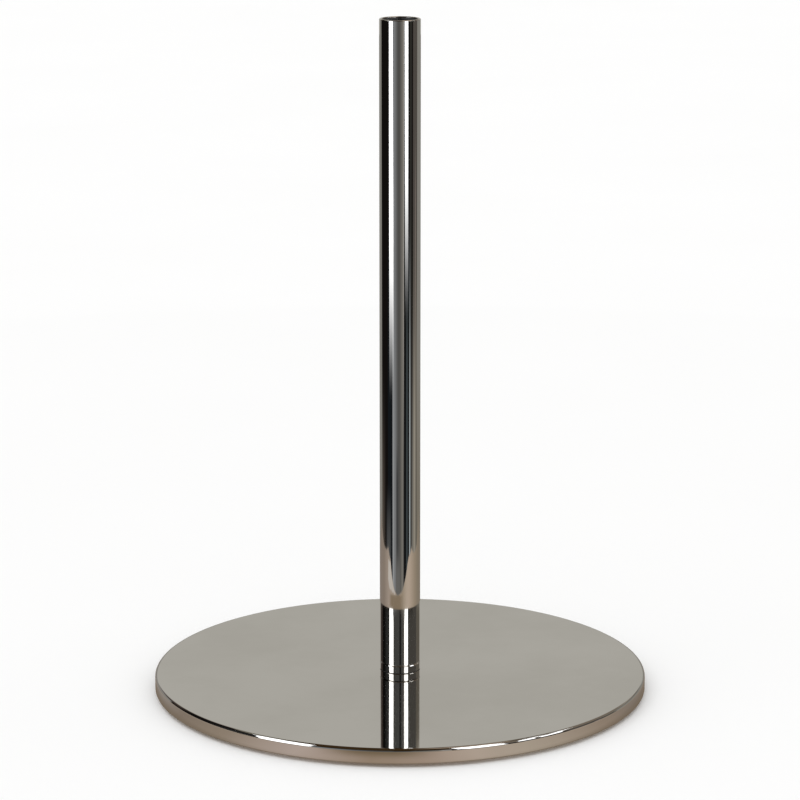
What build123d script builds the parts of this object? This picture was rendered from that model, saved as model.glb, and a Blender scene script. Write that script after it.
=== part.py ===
from build123d import *
import math
import os

# Flag pole stand: a polished round floor plate carrying an upright socket tube.
#
# The flag pole's foot is lowered into the open top of the tube.  Two split plastic bushes guide it
# and it stands on a rubber rest.  A flanged plug is bonded into the foot of the tube, and one
# countersunk screw from below draws the plug's flange down on the plate.
#
# Millimetres.  The origin is on the floor, on the axis of the tube, and +Z is up.

# ---------------------------------------------------------------- driving dimensions
PLATE_DIAMETER = 305.0
PLATE_THICKNESS = 9.5
TUBE_DIAMETER = 25.0
TUBE_WALL = 1.5
TUBE_LENGTH = 400.0
POLE_DIAMETER = 20.0        # the flag pole that the socket is made for

# ---------------------------------------------------------------- plate and felt
PLATE_TOP_EDGE_RADIUS = 2.0
PLATE_LOWER_EDGE_RADIUS = 0.8
PLATE_BORE_DIAMETER = 10.6  # clearance for the M10 screw
PLATE_BORE_CHAMFER = 0.3
FELT_THICKNESS = 2.0
FELT_INSET = 8.0            # from the plate's side to the felt's outer edge
FELT_WINDOW_DIAMETER = 40.0  # leaves the screw's head free for its key

# ---------------------------------------------------------------- foot of the tube
WASHER_THICKNESS = 0.25
WASHER_INSET = 0.3
FLANGE_THICKNESS = 5.0
FLANGE_UPPER_CHAMFER = 0.8  # with the chamfer of the tube, a groove above the flange
FLANGE_LOWER_CHAMFER = 0.2
PLUG_LENGTH = 34.0          # the part of the plug inside the tube
PLUG_LEAD_IN = 1.5
BOND_GROOVE_WIDTH = 2.0
BOND_GROOVE_DEPTH = 0.35
BOND_GROOVE_HEIGHTS = (9.0, 17.0, 25.0)  # above the flange
TAPPED_DEPTH = 24.0
DRILLED_DEPTH = 28.0
DRILL_POINT_HALF_ANGLE = 59.0
DRILL_WEB_RADIUS = 0.01     # the blunt tip of the drill point
TUBE_END_CHAMFER = 0.4

# ---------------------------------------------------------------- M10 countersunk screw
THREAD_RADIUS = 5.0
THREAD_PITCH = 1.5
THREAD_CREST_WIDTH = THREAD_PITCH / 8      # ISO metric profile
THREAD_ROOT_WIDTH = THREAD_PITCH / 6
THREAD_FLANK_ANGLE = 30.0
SCREW_CORE_RADIUS = THREAD_RADIUS - 0.6134 * THREAD_PITCH
TAP_DRILL_RADIUS = THREAD_RADIUS - 0.5413 * THREAD_PITCH
THREAD_ALLOWANCE = 0.03     # both threads stand back from the basic profile by this much
CUTTER_OVERRUN = 0.1        # a thread cutter reaches past the surface; its turns must stay apart
SCREW_LENGTH = 30.0         # over the head, as countersunk screws are measured
SCREW_HEAD_RADIUS = 10.0
SCREW_HEAD_RIM = 0.5
SCREW_RECESS = 0.3          # the head's face lies this far inside the plate
SCREW_TIP_CHAMFER = 0.9
SCREW_PLAIN_TIP = 2.0       # the thread stops this far short of the tip
HEX_KEY = 6.0
HEX_DEPTH = 3.6

# ---------------------------------------------------------------- inside the socket
REST_HEIGHT = 8.0
REST_PLAY = 0.2
REST_EDGE_RADIUS = 0.8
REST_DISH_DEPTH = 1.2
REST_DISH_RADII = (5.0, 8.0)  # at the bottom and at the top of the dish
BUSH_PLAY = 0.15            # radial play of the pole in its bushes
BUSH_SLOT = 2.0             # the bushes are split, so that they spring out against the tube
BUSH_OUTER_CHAMFER = 0.4
BUSH_LEAD_IN_HEIGHT = 1.0
BUSH_LEAD_IN_WIDTH = 0.4
LOWER_BUSH_LENGTH = 25.0
MOUTH_BUSH_LENGTH = 40.0
MOUTH_BUSH_RECESS = 0.6     # below the end of the tube

# ---------------------------------------------------------------- worked-out sizes
PLATE_RADIUS = PLATE_DIAMETER / 2
PLATE_BORE_RADIUS = PLATE_BORE_DIAMETER / 2
TUBE_RADIUS = TUBE_DIAMETER / 2
TUBE_BORE_RADIUS = TUBE_RADIUS - TUBE_WALL
BUSH_BORE_RADIUS = POLE_DIAMETER / 2 + BUSH_PLAY

PLATE_UNDERSIDE = FELT_THICKNESS
PLATE_TOP = PLATE_UNDERSIDE + PLATE_THICKNESS
FLANGE_BOTTOM = PLATE_TOP + WASHER_THICKNESS
TUBE_BOTTOM = FLANGE_BOTTOM + FLANGE_THICKNESS
PLUG_TOP = TUBE_BOTTOM + PLUG_LENGTH
REST_TOP = PLUG_TOP + REST_HEIGHT
TUBE_TOP = TUBE_BOTTOM + TUBE_LENGTH
MOUTH_BUSH_TOP = TUBE_TOP - MOUTH_BUSH_RECESS

SCREW_FACE = PLATE_UNDERSIDE + SCREW_RECESS
SCREW_CONE_BOTTOM = SCREW_FACE + SCREW_HEAD_RIM
SCREW_CONE_TOP = SCREW_CONE_BOTTOM + SCREW_HEAD_RADIUS - THREAD_RADIUS
SCREW_TIP = SCREW_FACE + SCREW_LENGTH
SINK_RADIUS = SCREW_HEAD_RADIUS + SCREW_RECESS + SCREW_HEAD_RIM

STANDING = (Align.CENTER, Align.CENTER, Align.MIN)


def rod(radius, low, high):
    """A round bar on the axis, from height low to height high."""
    return Pos(0, 0, low) * Cylinder(radius, high - low, align=STANDING)


def cone(low_radius, high_radius, low, high):
    """A cut-off cone on the axis, from height low to height high."""
    return Pos(0, 0, low) * Cone(low_radius, high_radius, high - low, align=STANDING)


def rim(part, radius, height):
    """The round edges of a part that have that radius and lie at that height."""
    near = 1e-4
    circles = part.edges().filter_by(GeomType.CIRCLE)
    return [
        edge
        for edge in circles
        if abs(edge.radius - radius) < near and abs(edge.center().Z - height) < near
    ]


def thread_cutter(narrow_radius, narrow_width, wide_radius, low, high):
    """A helical cutter of the M10 thread, with flanks that open from one radius to the other."""
    narrow = narrow_width / 2
    spread = abs(wide_radius - narrow_radius) * math.tan(math.radians(THREAD_FLANK_ANGLE))
    inner, outer = sorted([(narrow_radius, narrow), (wide_radius, narrow + spread)])
    profile = Plane.XZ * Polygon((inner[0], -inner[1]), (outer[0], -outer[1]), outer, inner, align=None)
    path = Helix(THREAD_PITCH, high - low, narrow_radius)
    return Pos(0, 0, low) * sweep(profile, path, is_frenet=True)


def base_plate():
    """Steel disc with a rounded upper edge and a countersunk bore, polished all over."""
    plate = rod(PLATE_RADIUS, PLATE_UNDERSIDE, PLATE_TOP)
    plate = fillet(rim(plate, PLATE_RADIUS, PLATE_TOP), PLATE_TOP_EDGE_RADIUS)
    plate = fillet(rim(plate, PLATE_RADIUS, PLATE_UNDERSIDE), PLATE_LOWER_EDGE_RADIUS)
    sink_top = PLATE_UNDERSIDE + SINK_RADIUS - PLATE_BORE_RADIUS
    plate -= rod(PLATE_BORE_RADIUS, PLATE_UNDERSIDE, PLATE_TOP)
    plate -= cone(SINK_RADIUS, PLATE_BORE_RADIUS, PLATE_UNDERSIDE, sink_top)
    return chamfer(rim(plate, PLATE_BORE_RADIUS, PLATE_TOP), PLATE_BORE_CHAMFER)


def floor_felt():
    """Felt ring glued under the plate."""
    disc = rod(PLATE_RADIUS - FELT_INSET, 0, FELT_THICKNESS)
    return disc - rod(FELT_WINDOW_DIAMETER / 2, 0, FELT_THICKNESS)


def plate_washer():
    """Thin plastic washer that keeps the plug's flange off the polished plate."""
    disc = rod(TUBE_RADIUS - WASHER_INSET, PLATE_TOP, FLANGE_BOTTOM)
    return disc - rod(PLATE_BORE_RADIUS, PLATE_TOP, FLANGE_BOTTOM)


def foot_plug():
    """Turned plug: a flange as wide as the tube, and a grooved, tapped body bonded inside it."""
    flange = rod(TUBE_RADIUS, FLANGE_BOTTOM, TUBE_BOTTOM)
    flange = chamfer(rim(flange, TUBE_RADIUS, TUBE_BOTTOM), FLANGE_UPPER_CHAMFER)
    flange = chamfer(rim(flange, TUBE_RADIUS, FLANGE_BOTTOM), FLANGE_LOWER_CHAMFER)
    body = rod(TUBE_BORE_RADIUS, TUBE_BOTTOM, PLUG_TOP)
    body = chamfer(rim(body, TUBE_BORE_RADIUS, PLUG_TOP), PLUG_LEAD_IN)
    for height in BOND_GROOVE_HEIGHTS:
        low = TUBE_BOTTOM + height
        high = low + BOND_GROOVE_WIDTH
        body -= rod(TUBE_BORE_RADIUS, low, high) - rod(TUBE_BORE_RADIUS - BOND_GROOVE_DEPTH, low, high)
    plug = flange + body

    drilled_top = FLANGE_BOTTOM + DRILLED_DEPTH
    point = TAP_DRILL_RADIUS / math.tan(math.radians(DRILL_POINT_HALF_ANGLE))
    entry = THREAD_RADIUS + CUTTER_OVERRUN
    plug -= rod(TAP_DRILL_RADIUS, FLANGE_BOTTOM, drilled_top)
    plug -= cone(TAP_DRILL_RADIUS, DRILL_WEB_RADIUS, drilled_top, drilled_top + point)
    plug -= cone(entry, TAP_DRILL_RADIUS, FLANGE_BOTTOM, FLANGE_BOTTOM + entry - TAP_DRILL_RADIUS)
    turns_below = math.floor((FLANGE_BOTTOM - SCREW_FACE) / THREAD_PITCH)
    return plug - thread_cutter(
        THREAD_RADIUS + THREAD_ALLOWANCE,
        THREAD_CREST_WIDTH + 2 * THREAD_ALLOWANCE,
        TAP_DRILL_RADIUS - CUTTER_OVERRUN,
        SCREW_FACE + turns_below * THREAD_PITCH,
        FLANGE_BOTTOM + TAPPED_DEPTH,
    )


def upright_tube():
    """The socket tube, broken at both outer ends and inside the mouth."""
    tube = rod(TUBE_RADIUS, TUBE_BOTTOM, TUBE_TOP) - rod(TUBE_BORE_RADIUS, TUBE_BOTTOM, TUBE_TOP)
    ends = rim(tube, TUBE_RADIUS, TUBE_BOTTOM) + rim(tube, TUBE_RADIUS, TUBE_TOP)
    return chamfer(ends + rim(tube, TUBE_BORE_RADIUS, TUBE_TOP), TUBE_END_CHAMFER)


def fixing_screw():
    """M10 x 30 countersunk socket screw, its head in the underside of the plate."""
    crest = THREAD_RADIUS - THREAD_ALLOWANCE
    shank = rod(crest, SCREW_FACE, SCREW_TIP)
    shank = chamfer(rim(shank, crest, SCREW_TIP), SCREW_TIP_CHAMFER)
    turns_below = math.ceil((SCREW_CONE_TOP - SCREW_FACE) / THREAD_PITCH)
    shank -= thread_cutter(
        SCREW_CORE_RADIUS - THREAD_ALLOWANCE,
        THREAD_ROOT_WIDTH + 2 * THREAD_ALLOWANCE,
        crest + CUTTER_OVERRUN,
        SCREW_FACE + (turns_below + 0.5) * THREAD_PITCH,
        SCREW_TIP - SCREW_PLAIN_TIP,
    )
    head = rod(SCREW_HEAD_RADIUS, SCREW_FACE, SCREW_CONE_BOTTOM)
    head += cone(SCREW_HEAD_RADIUS, THREAD_RADIUS, SCREW_CONE_BOTTOM, SCREW_CONE_TOP)
    socket = Pos(0, 0, SCREW_FACE) * extrude(RegularPolygon(HEX_KEY / 2, 6, major_radius=False), HEX_DEPTH)
    return head + shank - socket


def pole_rest():
    """Rubber disc with a shallow dish, which the foot of the flag pole stands in."""
    radius = TUBE_BORE_RADIUS - REST_PLAY
    rest = rod(radius, PLUG_TOP, REST_TOP)
    rest = fillet(rim(rest, radius, REST_TOP) + rim(rest, radius, PLUG_TOP), REST_EDGE_RADIUS)
    return rest - cone(*REST_DISH_RADII, REST_TOP - REST_DISH_DEPTH, REST_TOP)


def guide_bush(low, high):
    """Split plastic sleeve between the tube and the pole, with a lead-in at its upper end."""
    bush = rod(TUBE_BORE_RADIUS, low, high) - rod(BUSH_BORE_RADIUS, low, high)
    edges = rim(bush, TUBE_BORE_RADIUS, low) + rim(bush, TUBE_BORE_RADIUS, high)
    bush = chamfer(edges, BUSH_OUTER_CHAMFER)
    bush -= cone(BUSH_BORE_RADIUS, BUSH_BORE_RADIUS + BUSH_LEAD_IN_WIDTH, high - BUSH_LEAD_IN_HEIGHT, high)
    slot = Box(BUSH_SLOT, 2 * TUBE_BORE_RADIUS, high - low, align=(Align.CENTER, Align.MIN, Align.MIN))
    return bush - Pos(0, 0, low) * slot


def lower_guide_bush():
    """The bush that centres the pole's foot, standing on the rest."""
    return guide_bush(REST_TOP, REST_TOP + LOWER_BUSH_LENGTH)


def mouth_guide_bush():
    """The bush that steadies the pole at the mouth of the tube."""
    return guide_bush(MOUTH_BUSH_TOP - MOUTH_BUSH_LENGTH, MOUTH_BUSH_TOP)


SUB_PARTS = [
    base_plate,
    floor_felt,
    plate_washer,
    foot_plug,
    upright_tube,
    fixing_screw,
    pole_rest,
    lower_guide_bush,
    mouth_guide_bush,
]

os.makedirs("parts", exist_ok=True)
for sub_part in SUB_PARTS:
    export_step(sub_part(), f"parts/{sub_part.__name__}.step")
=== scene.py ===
"""Flag pole stand: the looks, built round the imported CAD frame.  Metres, +Z up, like the frame."""

import math

import bmesh
import bpy
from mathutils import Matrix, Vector, noise


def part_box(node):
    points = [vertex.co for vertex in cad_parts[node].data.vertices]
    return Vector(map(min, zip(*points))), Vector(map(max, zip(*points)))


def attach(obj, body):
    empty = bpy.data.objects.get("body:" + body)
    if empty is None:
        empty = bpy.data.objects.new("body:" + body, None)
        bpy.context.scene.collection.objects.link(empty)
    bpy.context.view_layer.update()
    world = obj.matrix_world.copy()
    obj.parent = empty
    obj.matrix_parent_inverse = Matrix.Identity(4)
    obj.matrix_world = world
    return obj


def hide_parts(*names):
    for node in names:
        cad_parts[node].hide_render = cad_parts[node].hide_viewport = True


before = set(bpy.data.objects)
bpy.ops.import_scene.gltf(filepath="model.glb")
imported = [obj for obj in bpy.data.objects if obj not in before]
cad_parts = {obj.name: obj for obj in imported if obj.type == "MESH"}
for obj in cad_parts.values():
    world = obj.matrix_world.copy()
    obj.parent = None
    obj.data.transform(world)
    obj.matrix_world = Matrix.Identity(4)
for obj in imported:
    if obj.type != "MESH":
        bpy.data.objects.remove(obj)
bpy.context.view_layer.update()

MM = 0.001
PLATE_LOW, PLATE_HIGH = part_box("base_plate")
TUBE_LOW, TUBE_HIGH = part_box("upright_tube")
FELT_LOW, FELT_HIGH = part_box("floor_felt")
PLATE_RADIUS = PLATE_HIGH.x
PLATE_TOP = PLATE_HIGH.z
TUBE_RADIUS = TUBE_HIGH.x

# ---------------------------------------------------------------- where the camera stands
CAMERA_DISTANCE = 2.0        # to the middle of the plate's top
CAMERA_ELEVATION = math.radians(17.87)
CAMERA_PITCH = math.radians(13.07)
CAMERA_LENS = 143.6          # on a 36 mm sensor

# ---------------------------------------------------------------- sizes of the pieces made here
PLATE_TOP_EDGE_RADIUS = 2.0 * MM
PLATE_LOWER_EDGE_RADIUS = 0.8 * MM
PLATE_BORE_RADIUS = 5.3 * MM
PLATE_BORE_CHAMFER = 0.3 * MM
PLATE_SINK_RADIUS = 10.8 * MM
TUBE_WALL = 1.5 * MM
TUBE_END_CHAMFER = 0.4 * MM
FELT_WINDOW_RADIUS = 20.0 * MM
FELT_EDGE_RADIUS = 0.45 * MM
FELT_FUZZ = 0.12 * MM
FELT_FUZZ_SCALE = 700.0      # of the noise that makes the felt's underside uneven
BROKEN_EDGE = 0.12 * MM      # how far polishing rounds an edge
PLATE_STEPS = 256            # faces round the axis
TUBE_STEPS = 128
FELT_STEPS = 320
PLATE_RUN = 30.0 * MM        # the longest straight run of an outline before it is divided
TUBE_RUN = 40.0 * MM
FELT_RUN = 6.0 * MM


# ---------------------------------------------------------------- camera
def make_camera():
    """The camera in front of the stand, a little above it and looking down."""
    data = bpy.data.cameras.new("camera")
    data.sensor_width = 36.0
    data.lens = CAMERA_LENS
    data.clip_end = 100.0
    camera = bpy.data.objects.new("camera", data)
    back = CAMERA_DISTANCE * math.cos(CAMERA_ELEVATION)
    up = CAMERA_DISTANCE * math.sin(CAMERA_ELEVATION)
    camera.location = (0.0, -back, PLATE_TOP + up)
    camera.rotation_euler = (math.pi / 2 - CAMERA_PITCH, 0.0, 0.0)
    bpy.context.collection.objects.link(camera)
    bpy.context.scene.camera = camera


# ---------------------------------------------------------------- turned meshes
def rounded(corners):
    """Outline points of a closed polygon whose corners are (radius, height, corner radius, steps)."""
    points = []
    for i, (r, z, corner_radius, steps) in enumerate(corners):
        here = Vector((r, z))
        before = (Vector(corners[i - 1][:2]) - here).normalized()
        after = (Vector(corners[(i + 1) % len(corners)][:2]) - here).normalized()
        if corner_radius == 0:
            points.append(here)
            continue
        half = before.angle(after) / 2
        centre = here + (before + after).normalized() * corner_radius / math.sin(half)
        start = here + before * corner_radius / math.tan(half) - centre
        end = here + after * corner_radius / math.tan(half) - centre
        turn = start.angle(end)
        for k in range(steps + 1):
            t = k / steps
            mix = (start * math.sin((1 - t) * turn) + end * math.sin(t * turn)) / math.sin(turn)
            points.append(centre + mix)
    return points


def split_runs(points, longest):
    """The same closed outline, with its long straight runs divided."""
    result = []
    for i, here in enumerate(points):
        after = points[(i + 1) % len(points)]
        pieces = max(1, math.ceil((after - here).length / longest))
        result += [here.lerp(after, k / pieces) for k in range(pieces)]
    return result


def turned(name, points, steps, material):
    """A closed outline turned about the Z axis into a smooth-shaded ring."""
    bm = bmesh.new()
    rings = []
    for k in range(steps):
        angle = 2 * math.pi * k / steps
        c, s = math.cos(angle), math.sin(angle)
        rings.append([bm.verts.new((p.x * c, p.x * s, p.y)) for p in points])
    for ring, following in zip(rings, rings[1:] + rings[:1]):
        for i in range(len(points)):
            j = (i + 1) % len(points)
            bm.faces.new((ring[i], following[i], following[j], ring[j]))
    bmesh.ops.recalc_face_normals(bm, faces=bm.faces)
    mesh = bpy.data.meshes.new(name)
    bm.to_mesh(mesh)
    bm.free()
    mesh.shade_smooth()
    mesh.materials.append(material)
    piece = bpy.data.objects.new(name, mesh)
    bpy.context.collection.objects.link(piece)
    return piece


def keep_flats_flat(piece):
    """Large faces decide the shading, so that flats next to rounded edges mirror without a bend."""
    weighted = piece.modifiers.new("weighted_normals", "WEIGHTED_NORMAL")
    weighted.weight = 100


# ---------------------------------------------------------------- materials
class Nodes:
    """A material's node tree, with short calls for the nodes that these finishes share."""

    def __init__(self, name):
        self.material = bpy.data.materials.new(name)
        self.material.use_nodes = True
        self.tree = self.material.node_tree
        self.shader = self.tree.nodes["Principled BSDF"]
        self.place = self.add("ShaderNodeTexCoord").outputs["Object"]

    def add(self, kind, **settings):
        node = self.tree.nodes.new(kind)
        for key, value in settings.items():
            setattr(node, key, value)
        return node

    def join(self, output, socket):
        self.tree.links.new(output, socket)

    def set(self, **values):
        """Values that are the same all over, on the shader's own sockets."""
        for key, value in values.items():
            self.shader.inputs[key.replace("_", " ")].default_value = value

    def stretched(self, scale):
        """The object's own coordinates, stretched by a factor along each axis."""
        mapping = self.add("ShaderNodeMapping")
        mapping.inputs["Scale"].default_value = scale
        self.join(self.place, mapping.inputs["Vector"])
        return mapping.outputs["Vector"]

    def noise(self, scale, detail=3.0, stretch=None, roughness=0.5):
        node = self.add("ShaderNodeTexNoise")
        node.inputs["Scale"].default_value = scale
        node.inputs["Detail"].default_value = detail
        node.inputs["Roughness"].default_value = roughness
        self.join(self.stretched(stretch) if stretch else self.place, node.inputs["Vector"])
        return node.outputs["Fac"]

    def specks(self, scale, size):
        """1 inside sparse small dots, 0 elsewhere."""
        node = self.add("ShaderNodeTexVoronoi")
        node.inputs["Scale"].default_value = scale
        self.join(self.place, node.inputs["Vector"])
        return self.ramped(node.outputs["Distance"], size * 0.5, size, 1.0, 0.0)

    def ramped(self, value, low, high, at_low, at_high):
        """value, from low to high, turned smoothly into at_low to at_high."""
        node = self.add("ShaderNodeMapRange", interpolation_type="SMOOTHSTEP")
        for key, number in zip(("From Min", "From Max", "To Min", "To Max"), (low, high, at_low, at_high)):
            node.inputs[key].default_value = number
        self.join(value, node.inputs["Value"])
        return node.outputs["Result"]

    def maths(self, operation, a, b):
        node = self.add("ShaderNodeMath", operation=operation)
        for socket, value in zip(node.inputs, (a, b)):
            if isinstance(value, (int, float)):
                socket.default_value = value
            else:
                self.join(value, socket)
        return node.outputs["Value"]

    def colour(self, factor, first, second):
        node = self.add("ShaderNodeMix", data_type="RGBA")
        node.inputs["A"].default_value = (*first, 1.0)
        node.inputs["B"].default_value = (*second, 1.0)
        self.join(factor, node.inputs["Factor"])
        self.join(node.outputs["Result"], self.shader.inputs["Base Color"])

    def bump(self, height, distance, strength=1.0, under=None):
        node = self.add("ShaderNodeBump")
        node.inputs["Strength"].default_value = strength
        node.inputs["Distance"].default_value = distance
        self.join(height, node.inputs["Height"])
        if under is not None:
            self.join(under, node.inputs["Normal"])
        self.join(node.outputs["Normal"], self.shader.inputs["Normal"])
        return node.outputs["Normal"]


def polished(name, bright, dull, wave_stretch, hairline_stretch):
    """Bright plated steel: faint waves of the polishing wheel, hairlines, a thin haze and dust."""
    n = Nodes(name)
    n.set(Metallic=1.0)
    haze = n.ramped(n.noise(9.0, 4.0, roughness=0.6), 0.35, 0.7, 0.0, 1.0)
    hairlines = n.noise(900.0, 2.0, hairline_stretch)
    dust = n.specks(420.0, 0.035)
    n.colour(n.maths("MAXIMUM", haze, dust), bright, dull)
    smooth = n.ramped(haze, 0.0, 1.0, 0.022, 0.045)
    lined = n.maths("MULTIPLY", hairlines, 0.02)
    n.join(n.maths("MAXIMUM", n.maths("ADD", smooth, lined), n.maths("MULTIPLY", dust, 0.35)),
           n.shader.inputs["Roughness"])
    waves = n.bump(n.noise(16.0, 1.0, wave_stretch), 4e-6)
    n.bump(hairlines, 2e-8, under=waves)
    return n.material


def felt_finish(name):
    """Pressed black felt: matted fibres, grey lint and a soft sheen."""
    n = Nodes(name)
    n.set(Roughness=0.95, Sheen_Weight=0.15, Sheen_Roughness=0.6, Specular_IOR_Level=0.2)
    fibres = n.noise(900.0, 6.0, roughness=0.75)
    lint = n.ramped(n.noise(140.0, 5.0, (1.0, 0.25, 1.0), 0.7), 0.62, 0.74, 0.0, 0.6)
    pale = n.maths("MAXIMUM", n.ramped(fibres, 0.3, 0.8, 0.0, 0.5), lint)
    n.colour(pale, (0.012, 0.012, 0.014), (0.07, 0.07, 0.075))
    n.bump(fibres, 1.2e-4, 0.8)
    return n.material


def plastic_finish(name, dark, light, roughness):
    """Moulded black plastic with a fine grain and slight rub marks."""
    n = Nodes(name)
    n.set(Specular_IOR_Level=0.45)
    grain = n.noise(2600.0, 3.0)
    rubs = n.ramped(n.noise(60.0, 4.0, (1.0, 1.0, 0.2), 0.65), 0.45, 0.75, 0.0, 1.0)
    n.colour(rubs, dark, light)
    n.join(n.ramped(rubs, 0.0, 1.0, roughness, roughness - 0.15), n.shader.inputs["Roughness"])
    n.bump(grain, 1.5e-5, 0.6)
    return n.material


def rubber_finish(name):
    """Moulded rubber: matt, slightly bloomed, with a coarse skin."""
    n = Nodes(name)
    n.set(Specular_IOR_Level=0.3)
    bloom = n.ramped(n.noise(180.0, 5.0, roughness=0.7), 0.4, 0.8, 0.0, 1.0)
    n.colour(bloom, (0.018, 0.018, 0.018), (0.055, 0.054, 0.052))
    n.join(n.ramped(bloom, 0.0, 1.0, 0.7, 0.9), n.shader.inputs["Roughness"])
    n.bump(n.noise(1500.0, 4.0), 4e-5, 0.7)
    return n.material


def zinc_finish(name):
    """Zinc plated steel: clouded grey with turning lines round the axis."""
    n = Nodes(name)
    n.set(Metallic=1.0)
    clouds = n.ramped(n.noise(260.0, 5.0, roughness=0.65), 0.35, 0.7, 0.0, 1.0)
    n.colour(clouds, (0.50, 0.50, 0.51), (0.36, 0.36, 0.38))
    n.join(n.ramped(clouds, 0.0, 1.0, 0.28, 0.45), n.shader.inputs["Roughness"])
    n.bump(n.noise(3000.0, 2.0, (0.15, 0.15, 1.0)), 6e-6, 0.6)
    return n.material


# ---------------------------------------------------------------- pieces
def make_plate(material):
    """The base plate, its rim rounded as in the CAD model and its small edges softly broken."""
    sink_top = PLATE_LOW.z + PLATE_SINK_RADIUS - PLATE_BORE_RADIUS
    corners = [
        (PLATE_BORE_RADIUS, sink_top, BROKEN_EDGE, 3),
        (PLATE_BORE_RADIUS, PLATE_TOP - PLATE_BORE_CHAMFER, BROKEN_EDGE, 3),
        (PLATE_BORE_RADIUS + PLATE_BORE_CHAMFER, PLATE_TOP, BROKEN_EDGE, 3),
        (PLATE_RADIUS, PLATE_TOP, PLATE_TOP_EDGE_RADIUS, 18),
        (PLATE_RADIUS, PLATE_LOW.z, PLATE_LOWER_EDGE_RADIUS, 8),
        (PLATE_SINK_RADIUS, PLATE_LOW.z, BROKEN_EDGE, 3),
    ]
    plate = turned("polished_plate", split_runs(rounded(corners), PLATE_RUN), PLATE_STEPS, material)
    keep_flats_flat(plate)
    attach(plate, "root")
    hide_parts("base_plate")


def make_tube(material):
    """The socket tube with its chamfered ends."""
    inner = TUBE_RADIUS - TUBE_WALL
    low, high, cut = TUBE_LOW.z, TUBE_HIGH.z, TUBE_END_CHAMFER
    corners = [
        (inner, low, 0, 0),
        (inner, high - cut, BROKEN_EDGE, 3),
        (inner + cut, high, BROKEN_EDGE, 3),
        (TUBE_RADIUS - cut, high, BROKEN_EDGE, 3),
        (TUBE_RADIUS, high - cut, BROKEN_EDGE, 3),
        (TUBE_RADIUS, low + cut, BROKEN_EDGE, 3),
        (TUBE_RADIUS - cut, low, BROKEN_EDGE, 3),
    ]
    tube = turned("socket_tube", split_runs(rounded(corners), TUBE_RUN), TUBE_STEPS, material)
    keep_flats_flat(tube)
    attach(tube, "root")
    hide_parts("upright_tube")


def make_felt(material):
    """The felt ring under the plate, its cut edges rounded and its underside slightly uneven."""
    outer = FELT_HIGH.x
    edge = FELT_EDGE_RADIUS
    corners = [
        (FELT_WINDOW_RADIUS, FELT_LOW.z, edge, 4),
        (FELT_WINDOW_RADIUS, FELT_HIGH.z, edge / 3, 2),
        (outer, FELT_HIGH.z, edge / 3, 2),
        (outer, FELT_LOW.z, edge, 4),
    ]
    middle = (FELT_LOW.z + FELT_HIGH.z) / 2
    felt = turned("felt_ring", split_runs(rounded(corners), FELT_RUN), FELT_STEPS, material)
    for vertex in felt.data.vertices:
        if vertex.co.z < middle:
            vertex.co.z += FELT_FUZZ * (0.5 + 0.5 * noise.noise(vertex.co * FELT_FUZZ_SCALE))
    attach(felt, "root")
    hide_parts("floor_felt")


def finish_cad_nodes(materials):
    """The CAD nodes that stay, each with its own finish."""
    for node, material in materials.items():
        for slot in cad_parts[node].material_slots:
            slot.material = material


# ---------------------------------------------------------------- studio
# The metal mirrors a round room of cards that only show in reflections.  Azimuths are in degrees:
# 0 is the camera's side and +90 is its right.  Heights are above the plate's top.
# The places and colours of the cards, and the table's outline and shades, were read off the
# reflections in the photograph.  They suit that view alone: from the side, from behind and from
# above, the plate mirrors dark cards and looks much darker than it is.
RING_RADIUS = 1.2
ROOM_BOTTOM = -0.46
ROOM_MIDDLE = 0.31           # the tube mirrors the wall up to here, the plate and its edge from here on
ROOM_UPPER = 0.62            # between the two, the wall also shows in the tube's foot, by way of the plate
ROOM_TOP = 1.4
CARD_GAP = 0.012             # between one layer of cards and the next
CARD_STEP = 3                # degrees that one face of a bent card spans, at the most
SOFTBOX_STRENGTH = 1.8
DAYLIGHT_STRENGTH = 0.94
KEY_STRENGTH = 0.45
FLOOR_RADIUS = 30.0

# A fade gives the shares of a card over which its light thins out: at its first azimuth, its last
# azimuth, its lower or outer edge, and its upper or inner edge.
HARD = (0, 0, 0, 0)

METAL = (0.80, 0.785, 0.755)  # the metal's tint, which the cards' colours allow for
BLACK = (0.07, 0.06, 0.055)
NEAR_BLACK = (0.075, 0.08, 0.08)
WHITE = (1, 1, 1)
BACKDROP = (0.645, 0.632, 0.60)

# The table under the stand, as the metal mirrors it: its corners seen from above, and the lights
# and shades on it.
TABLE_OUTLINE = [
    (-0.345, 0.30), (-0.345, 0.0), (-0.33, -0.12), (-0.26, -0.183),
    (-0.18, -0.196), (-0.10, -0.216), (0.0, -0.236), (0.11, -0.238),
    (0.21, -0.226), (0.25, -0.21), (0.325, -0.13), (0.335, 0.0), (0.335, 0.30),
]
TABLE_MIDDLE = 0.1           # the Y about which the outline grows into the table's surround
SURROUND_GROWTH = 1.015
SURROUND_Z = -4 * MM         # the table's layers of cards, each over the one before
FAR_Z = -3 * MM
NEAR_Z = -2 * MM
SHADE_Z = -1 * MM
FOOT_SHADE_Z = -0.5 * MM
TABLE_GLOW = [               # a bright strip along the left part of the front edge
    (-0.295, -0.115), (-0.255, -0.178), (-0.18, -0.191), (-0.10, -0.211),
    (-0.10, -0.206), (-0.14, -0.188), (-0.18, -0.157), (-0.215, -0.115), (-0.25, -0.09),
]
NEAR_RADIUS = 0.188          # the plate's side mirrors the table up to here, the tube from here on
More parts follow.
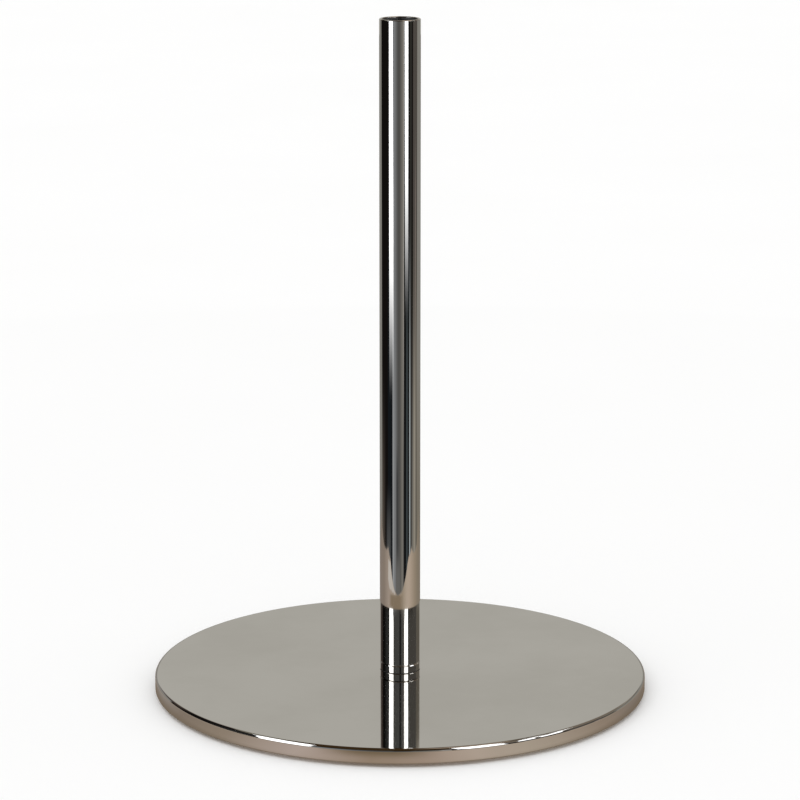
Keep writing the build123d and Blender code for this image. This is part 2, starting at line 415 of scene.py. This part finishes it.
NEAR_SHADES = [              # the table's colours near the plate, with painted sheen and painted shade in them: azimuth, then the colour there
    (-180, (0.55, 0.50, 0.45)),
    (-85, (0.54, 0.51, 0.48)),
    (-68, (0.49, 0.44, 0.39)),
    (-49, (0.55, 0.495, 0.435)),
    (-27, (0.67, 0.61, 0.57)),
    (-7, (0.56, 0.49, 0.42)),
    (6, (0.60, 0.53, 0.47)),
    (19, (0.68, 0.62, 0.565)),
    (33, (0.65, 0.60, 0.54)),
    (61, (0.55, 0.49, 0.43)),
    (78, (0.495, 0.45, 0.41)),
    (180, (0.55, 0.50, 0.45)),
]
FAR_SHADES = [               # the same from NEAR_RADIUS on, lighter and darker by azimuth as painted light and shade
    (-180, (0.50, 0.465, 0.435)),
    (-100, (0.51, 0.46, 0.415)),
    (-68, (0.60, 0.545, 0.495)),
    (-28, (0.61, 0.55, 0.49)),
    (-5, (0.60, 0.53, 0.465)),
    (13, (0.57, 0.515, 0.445)),
    (37, (0.665, 0.605, 0.54)),
    (52, (0.675, 0.61, 0.545)),
    (90, (0.565, 0.51, 0.44)),
    (115, (0.51, 0.465, 0.405)),
    (180, (0.46, 0.425, 0.38)),
]


def linear(colour):
    """A display colour, 0 to 1, as linear light that the metal shows in that colour."""
    light = [c / 12.92 if c <= 0.04045 else ((c + 0.055) / 1.055) ** 2.4 for c in colour]
    return [value / tint for value, tint in zip(light, METAL)]


def card_finish(name, colour, fade, strength=1.0):
    """Light of one colour, which thins out towards the card's edges as its fade says."""
    material = bpy.data.materials.new(name)
    material.use_nodes = True
    tree = material.node_tree
    tree.nodes.clear()
    output = tree.nodes.new("ShaderNodeOutputMaterial")
    glow = tree.nodes.new("ShaderNodeEmission")
    glow.inputs["Color"].default_value = (*linear(colour), 1.0)
    glow.inputs["Strength"].default_value = strength
    if not any(fade):
        tree.links.new(glow.outputs["Emission"], output.inputs["Surface"])
        return material
    uv = tree.nodes.new("ShaderNodeUVMap")
    split = tree.nodes.new("ShaderNodeSeparateXYZ")
    tree.links.new(uv.outputs["UV"], split.inputs["Vector"])
    cover = None
    sides = (("X", 0.0, fade[0]), ("X", 1.0, fade[1]), ("Y", 0.0, fade[2]), ("Y", 1.0, fade[3]))
    for axis, edge, share in sides:
        if share == 0:
            continue
        ramp = tree.nodes.new("ShaderNodeMapRange")
        ramp.interpolation_type = "SMOOTHSTEP"
        ramp.inputs["From Min"].default_value = edge if edge == 0 else 1 - share
        ramp.inputs["From Max"].default_value = share if edge == 0 else 1.0
        ramp.inputs["To Min"].default_value = 0.0 if edge == 0 else 1.0
        ramp.inputs["To Max"].default_value = 1.0 if edge == 0 else 0.0
        tree.links.new(split.outputs[axis], ramp.inputs["Value"])
        if cover is None:
            cover = ramp.outputs["Result"]
            continue
        both = tree.nodes.new("ShaderNodeMath")
        both.operation = "MULTIPLY"
        tree.links.new(cover, both.inputs[0])
        tree.links.new(ramp.outputs["Result"], both.inputs[1])
        cover = both.outputs["Value"]
    clear = tree.nodes.new("ShaderNodeBsdfTransparent")
    mix = tree.nodes.new("ShaderNodeMixShader")
    tree.links.new(cover, mix.inputs["Fac"])
    tree.links.new(clear.outputs["BSDF"], mix.inputs[1])
    tree.links.new(glow.outputs["Emission"], mix.inputs[2])
    tree.links.new(mix.outputs["Shader"], output.inputs["Surface"])
    return material


def round_finish(name, shades):
    """Light whose colour changes with the azimuth round the stand's axis."""
    material = card_finish(name, WHITE, HARD)
    tree = material.node_tree
    place = tree.nodes.new("ShaderNodeTexCoord")
    split = tree.nodes.new("ShaderNodeSeparateXYZ")
    tree.links.new(place.outputs["Object"], split.inputs["Vector"])
    front = tree.nodes.new("ShaderNodeMath")
    front.operation = "MULTIPLY"
    front.inputs[1].default_value = -1.0
    tree.links.new(split.outputs["Y"], front.inputs[0])
    azimuth = tree.nodes.new("ShaderNodeMath")
    azimuth.operation = "ARCTAN2"
    tree.links.new(split.outputs["X"], azimuth.inputs[0])
    tree.links.new(front.outputs["Value"], azimuth.inputs[1])
    turn = tree.nodes.new("ShaderNodeMapRange")
    turn.inputs["From Min"].default_value = -math.pi
    turn.inputs["From Max"].default_value = math.pi
    tree.links.new(azimuth.outputs["Value"], turn.inputs["Value"])
    ramp = tree.nodes.new("ShaderNodeValToRGB")
    while len(ramp.color_ramp.elements) < len(shades):
        ramp.color_ramp.elements.new(0.5)
    for element, (degrees, shade) in zip(ramp.color_ramp.elements, shades):
        element.position = degrees / 360 + 0.5
        element.color = (*linear(shade), 1.0)
    tree.links.new(turn.outputs["Result"], ramp.inputs["Fac"])
    tree.links.new(ramp.outputs["Color"], tree.nodes["Emission"].inputs["Color"])
    return material


def place_card(name, mesh, material):
    """A card that shows in the metal's reflections, and nowhere else."""
    mesh.materials.append(material)
    card = bpy.data.objects.new(name, mesh)
    bpy.context.collection.objects.link(card)
    card.visible_camera = False
    card.visible_diffuse = False
    card.visible_shadow = False
    card.visible_transmission = False
    card.visible_volume_scatter = False


def bent_card(name, lower, upper, material):
    """A card between two arcs, each given as (first azimuth, last azimuth, radius, height)."""
    columns = max(2, math.ceil((upper[1] - upper[0]) / CARD_STEP))
    mesh = bpy.data.meshes.new(name)
    points, faces, uvs = [], [], []
    for v, (first, last, radius, height) in enumerate((lower, upper)):
        for k in range(columns + 1):
            angle = math.radians(first + (last - first) * k / columns)
            points.append((radius * math.sin(angle), -radius * math.cos(angle), PLATE_TOP + height))
            uvs.append((k / columns, v))
    for k in range(columns):
        faces.append((k, k + 1, columns + k + 2, columns + k + 1))
    mesh.from_pydata(points, [], faces)
    layer_uv = mesh.uv_layers.new(name="card")
    for loop in mesh.loops:
        layer_uv.data[loop.index].uv = uvs[loop.vertex_index]
    place_card(name, mesh, material)


def wall_card(name, azimuth, height, colour, layer=0, fade=HARD, lower_azimuth=None, strength=1.0):
    """A card on the round wall.  lower_azimuth gives its lower edge's azimuths where it leans."""
    radius = RING_RADIUS - layer * CARD_GAP
    lower = (*(lower_azimuth or azimuth), radius, height[0])
    bent_card(name, lower, (*azimuth, radius, height[1]), card_finish(name, colour, fade, strength))


def softbox(name, azimuth, height, lower_azimuth=None, layer=4, fade=HARD):
    """A bright white card on the round wall."""
    wall_card(name, azimuth, height, WHITE, layer, fade, lower_azimuth, SOFTBOX_STRENGTH)


def ceiling_card(name, azimuth, reach, colour, layer=0, fade=HARD, strength=1.0):
    """A card on the ceiling, its reach given from the stand's axis."""
    height = ROOM_TOP - layer * CARD_GAP
    outer = (*azimuth, reach[1], height)
    bent_card(name, outer, (*azimuth, reach[0], height), card_finish(name, colour, fade, strength))


def ceiling_softbox(name, azimuth, reach):
    """A bright white card just under the ceiling."""
    ceiling_card(name, azimuth, reach, WHITE, 2, HARD, SOFTBOX_STRENGTH)


def table_card(name, azimuth, reach, z, material):
    """A level card round the stand's axis, on the table."""
    outer = (*azimuth, reach[1], z - PLATE_TOP)
    bent_card(name, outer, (*azimuth, reach[0], z - PLATE_TOP), material)


def flat_card(name, corners, z, material):
    """A level card with straight edges."""
    mesh = bpy.data.meshes.new(name)
    mesh.from_pydata([(x, y, z) for x, y in corners], [], [tuple(range(len(corners)))])
    place_card(name, mesh, material)


def make_lower_room():
    """What the tube mirrors: black flags, grey screens and the lower ends of two tall softboxes."""
    span = (ROOM_BOTTOM, ROOM_MIDDLE)
    wall_card("room_wall", (-180, 180), span, (0.50, 0.49, 0.465))
    fade = (0, 0, 0, 0.5)
    wall_card("right_wall_low", (110, 180), (ROOM_BOTTOM, 0.0), (0.455, 0.43, 0.385), 2, fade)

    wall_card("left_flag", (-126, -60), span, BLACK, 1, (0.04, 0, 0, 0), (-119, -60))
    wall_card("left_dark", (-72, -43), (ROOM_BOTTOM, 0.05), (0.075, 0.09, 0.10), 2)
    fade = (0, 0.85, 0, 0.5)
    wall_card("left_flag_glow", (-121, -84), (ROOM_BOTTOM, -0.05), (0.32, 0.29, 0.26), 3, fade)
    fade = (0.4, 0.3, 0, 0.25)
    wall_card("left_low_glow", (-88, -48), (ROOM_BOTTOM, -0.17), (0.28, 0.285, 0.285), 4, fade)

    wall_card("camera_side", (-43, 23), span, (0.30, 0.295, 0.285), 1)
    wall_card("left_screen", (-43, -8), span, (0.49, 0.495, 0.50), 2, (0, 0.8, 0, 0))
    fade = (0.3, 0.4, 0, 0.5)
    wall_card("left_line", (-41.5, -35), (ROOM_BOTTOM, 0.05), (0.58, 0.585, 0.585), 3, fade)
    fade = (0.4, 0.4, 0.3, 0.3)
    wall_card("camera_side_dip", (-24, -6), (-0.30, -0.13), (0.24, 0.24, 0.24), 3, fade)
    fade = (0.25, 0.25, 0, 0.15)
    wall_card("camera_side_foot", (-26, 4), (ROOM_BOTTOM, -0.235), (0.375, 0.37, 0.36), 4, fade)
    fade = (0.75, 0, 0, 0)
    wall_card("camera_side_glow", (-4, 23), span, (0.45, 0.435, 0.41), 2, fade)
    fade = (0.2, 0, 0, 0.4)
    wall_card("camera_side_low", (17, 23), (ROOM_BOTTOM, -0.02), (0.33, 0.32, 0.305), 3, fade)
    fade = (0.3, 0, 0.5, 0)
    wall_card("camera_side_edge", (16, 23), (-0.16, ROOM_MIDDLE), (0.60, 0.585, 0.56), 4, fade)

    wall_card("right_black", (21.6, 53), span, NEAR_BLACK, 5)
    fade = (0.2, 0.1, 0, 0.2)
    wall_card("right_navy", (34, 45), (ROOM_BOTTOM, 0.06), (0.225, 0.25, 0.255), 6, fade)
    wall_card("right_flag", (52, 77.5), span, (0.10, 0.09, 0.08), 2)
    fade = (0.2, 0.2, 0.2, 0)
    wall_card("right_flag_seam", (57, 68), (-0.02, ROOM_MIDDLE), (0.19, 0.185, 0.17), 3, fade)
    fade = (0.8, 0, 0, 0.6)
    wall_card("right_flag_low", (64, 77.5), (ROOM_BOTTOM, 0.04), (0.42, 0.41, 0.385), 3, fade)
    fade = (0.1, 0.2, 0, 0.43)
    wall_card("right_line", (53.2, 59), (ROOM_BOTTOM, 0.12), (0.62, 0.645, 0.65), 6, fade)
    fade = (0, 0.4, 0, 0.4)
    wall_card("right_line_soft", (58, 65), (ROOM_BOTTOM, 0.10), (0.43, 0.44, 0.435), 4, fade)
    wall_card("right_screen", (77.5, 110), span, (0.30, 0.28, 0.26), 2)
    fade = (0, 0, 0, 0.45)
    wall_card("right_screen_low", (77.5, 110), (ROOM_BOTTOM, 0.10), (0.475, 0.455, 0.415), 3, fade)
    fade = (0.2, 0.2, 0.4, 0.4)
    wall_card("right_seam", (92.5, 98), (-0.10, 0.20), (0.50, 0.455, 0.43), 4, fade)
    fade = (0.2, 0.2, 0, 0.3)
    wall_card("right_seam_low", (85.5, 92), (ROOM_BOTTOM, 0.0), (0.60, 0.57, 0.515), 4, fade)
    fade = (0.2, 0.1, 0, 0.3)
    wall_card("right_seam_dark", (102, 110), (ROOM_BOTTOM, -0.02), (0.345, 0.32, 0.285), 4, fade)

    softbox("left_softbox", (-62.9, -41.3), (-0.082, ROOM_MIDDLE), (-62, -35), 8, (0, 0, 0.554, 0))
    softbox("right_softbox", (26, 45.5), (-0.005, ROOM_MIDDLE), (28.5, 46.6), 8, (0, 0, 0.74, 0))


def make_upper_room():
    """What the plate and its edge mirror: a pale backdrop behind, softboxes and a dark ceiling."""
    span = (ROOM_MIDDLE, ROOM_UPPER)
    high = (ROOM_UPPER, ROOM_TOP)
    tall = (ROOM_MIDDLE, ROOM_TOP)
    wall_card("room_wall_high", (-180, 180), tall, (0.43, 0.39, 0.345))
    wall_card("backdrop", (146, 214), (0.26, ROOM_TOP), BACKDROP, 1, (0.06, 0.06, 0, 0.55))

    wall_card("left_upper_edge", (-148, -138), span, (0.37, 0.34, 0.33), 1)
    wall_card("left_upper_brown", (-138, -117), span, (0.22, 0.19, 0.17), 1)
    wall_card("left_upper_flag", (-117, -62), span, (0.06, 0.055, 0.05), 1)
    wall_card("left_upper_grey", (-102, -62), span, (0.185, 0.185, 0.18), 2, (0.7, 0, 0, 0))
    wall_card("left_high_flag", (-142, -50), high, BLACK, 1, (0.1, 0, 0, 0))
    wall_card("camera_upper_side", (-42, 28), span, (0.265, 0.265, 0.26), 1)
    wall_card("camera_dark", (-3.5, 5.5), span, (0.07, 0.065, 0.06), 2, (0.15, 0.15, 0, 0))
    wall_card("camera_upper_glow", (11, 28), span, (0.36, 0.345, 0.33), 2, (0.5, 0, 0, 0))
    wall_card("camera_high_side", (-50, 30), high, (0.17, 0.125, 0.065), 2)
    wall_card("right_upper_flag", (45, 106), span, (0.275, 0.265, 0.25), 1)
    wall_card("right_upper_edge", (106, 125), span, (0.46, 0.44, 0.40), 1)
    wall_card("right_upper_end", (125, 148), span, (0.55, 0.52, 0.48), 1)
    fade = (0, 0, 0, 0.2)
    wall_card("right_upper_low", (106, 148), (ROOM_MIDDLE, 0.47), (0.37, 0.35, 0.315), 2, fade)

    softbox("left_tall_softbox", (-88, -48.5), tall, (-62.5, -37.8))
    softbox("right_tall_softbox", (28, 55), tall, (24.5, 45.5))
    softbox("right_side_lamp", (63, 73), (0.50, 1.05), (53.5, 62.5))
    softbox("right_back_lamp", (73.5, 89.5), (0.50, 0.95), (65.5, 78))

    ceiling_card("ceiling", (-180, 180), (0.0, RING_RADIUS), (0.215, 0.16, 0.095))
    ceiling_card("ceiling_left", (-150, -66), (0.68, RING_RADIUS), (0.40, 0.385, 0.34), 1)
    fade = (0.2, 0.2, 0, 0.2)
    ceiling_card("ceiling_right", (35, 160), (0.05, 0.68), (0.62, 0.555, 0.485), 1, fade)
    ceiling_card("ceiling_right_dark", (66, 160), (0.68, RING_RADIUS), (0.34, 0.31, 0.27), 1)
    ceiling_softbox("left_top_softbox", (-96, -56), (0.80, RING_RADIUS))
    ceiling_softbox("right_top_softbox", (32, 60), (0.80, RING_RADIUS))
    ceiling_softbox("right_top_lamp", (78, 97), (0.97, RING_RADIUS))
    softbox("right_high_lamp", (94, 110), (1.12, ROOM_TOP))


def make_table():
    """The table under the stand and the room's floor: level cards, all lower than the pale floor."""
    around = [(-RING_RADIUS, -RING_RADIUS), (RING_RADIUS, -RING_RADIUS)]
    around += [(RING_RADIUS, RING_RADIUS), (-RING_RADIUS, RING_RADIUS)]
    room_floor = card_finish("room_floor", (0.36, 0.34, 0.31), HARD)
    flat_card("room_floor", around, PLATE_TOP + ROOM_BOTTOM, room_floor)

    grown = []
    for x, y in TABLE_OUTLINE:
        grown.append((x * SURROUND_GROWTH, (y - TABLE_MIDDLE) * SURROUND_GROWTH + TABLE_MIDDLE))
    surround = card_finish("table_surround", (0.50, 0.48, 0.45), HARD)
    flat_card("table_surround", grown, SURROUND_Z, surround)
    flat_card("table_far", TABLE_OUTLINE, FAR_Z, round_finish("table_far", FAR_SHADES))
    near = round_finish("table_near", NEAR_SHADES)
    table_card("table_near", (-180, 180), (0.0, NEAR_RADIUS), NEAR_Z, near)
    glow = card_finish("table_glow", (0.71, 0.68, 0.645), HARD)
    flat_card("table_glow", TABLE_GLOW, NEAR_Z, glow)

    # Painted shade on the table: a soft painted shadow of the plate to its front left, a painted contact
    # shadow round its foot, and painted shade just in front of it.
    shade = card_finish("table_shade", (0.495, 0.435, 0.36), (0.2, 0.3, 0.1, 0))
    table_card("table_shade", (-64, 22), (NEAR_RADIUS, 0.227), SHADE_Z, shade)
    foot_shade = card_finish("table_foot_shade", (0.44, 0.39, 0.33), (0, 0, 0.8, 0))
    table_card("table_foot_shade", (-180, 180), (0.150, 0.165), FOOT_SHADE_Z, foot_shade)
    front_shade = card_finish("table_front_shade", (0.43, 0.37, 0.29), (0.4, 0.4, 0, 0.8))
    table_card("table_front_shade", (-24, 12), (0.168, NEAR_RADIUS), SHADE_Z, front_shade)


def make_floor():
    """A plain pale floor that the camera sees."""
    n = Nodes("pale_floor")
    n.set(Roughness=0.9, Specular_IOR_Level=0.1)
    n.colour(n.noise(3.0, 3.0), (0.93, 0.93, 0.925), (0.95, 0.95, 0.948))
    bpy.ops.mesh.primitive_circle_add(vertices=96, radius=FLOOR_RADIUS, fill_type="NGON", location=(0, 0, 0))
    floor = bpy.context.active_object
    floor.name = "floor"
    floor.data.materials.append(n.material)
    floor.visible_glossy = False


def make_light():
    """Even white light from all round, and a large soft lamp above, at the front left."""
    world = bpy.data.worlds.new("white_studio")
    bpy.context.scene.world = world
    world.use_nodes = True
    background = world.node_tree.nodes["Background"]
    background.inputs["Color"].default_value = (1.0, 1.0, 1.0, 1.0)
    background.inputs["Strength"].default_value = DAYLIGHT_STRENGTH
    data = bpy.data.lights.new("soft_key", "SUN")
    data.energy = KEY_STRENGTH
    data.angle = math.radians(60)
    lamp = bpy.data.objects.new("soft_key", data)
    lamp.rotation_euler = (math.radians(25), math.radians(-20), 0.0)
    lamp.visible_glossy = False
    bpy.context.collection.objects.link(lamp)


make_camera()
bpy.context.scene.view_settings.view_transform = "Standard"
make_light()
make_floor()
make_lower_room()
make_upper_room()
make_table()

LEVEL = (1.0, 1.0, 1.0)
ROUND = (1.0, 1.0, 0.02)
plate_metal = polished("plate_metal", METAL, (0.74, 0.725, 0.69), LEVEL, (1.0, 0.03, 1.0))
tube_metal = polished("tube_metal", METAL, (0.75, 0.735, 0.70), (1.0, 1.0, 0.3), ROUND)
plug_metal = polished("plug_metal", (0.79, 0.775, 0.745), (0.72, 0.70, 0.67), LEVEL, (0.03, 0.03, 1.0))
make_plate(plate_metal)
make_tube(tube_metal)
make_felt(felt_finish("black_felt"))
finish_cad_nodes({
    "foot_plug": plug_metal,
    "plate_washer": plastic_finish("washer_nylon", (0.015, 0.015, 0.016), (0.04, 0.04, 0.042), 0.55),
    "fixing_screw": zinc_finish("screw_zinc"),
    "pole_rest": rubber_finish("rest_rubber"),
    "lower_guide_bush": plastic_finish("lower_bush_acetal", (0.02, 0.02, 0.021), (0.05, 0.05, 0.052), 0.5),
    "mouth_guide_bush": plastic_finish("mouth_bush_acetal", (0.02, 0.02, 0.021), (0.06, 0.06, 0.062), 0.5),
})
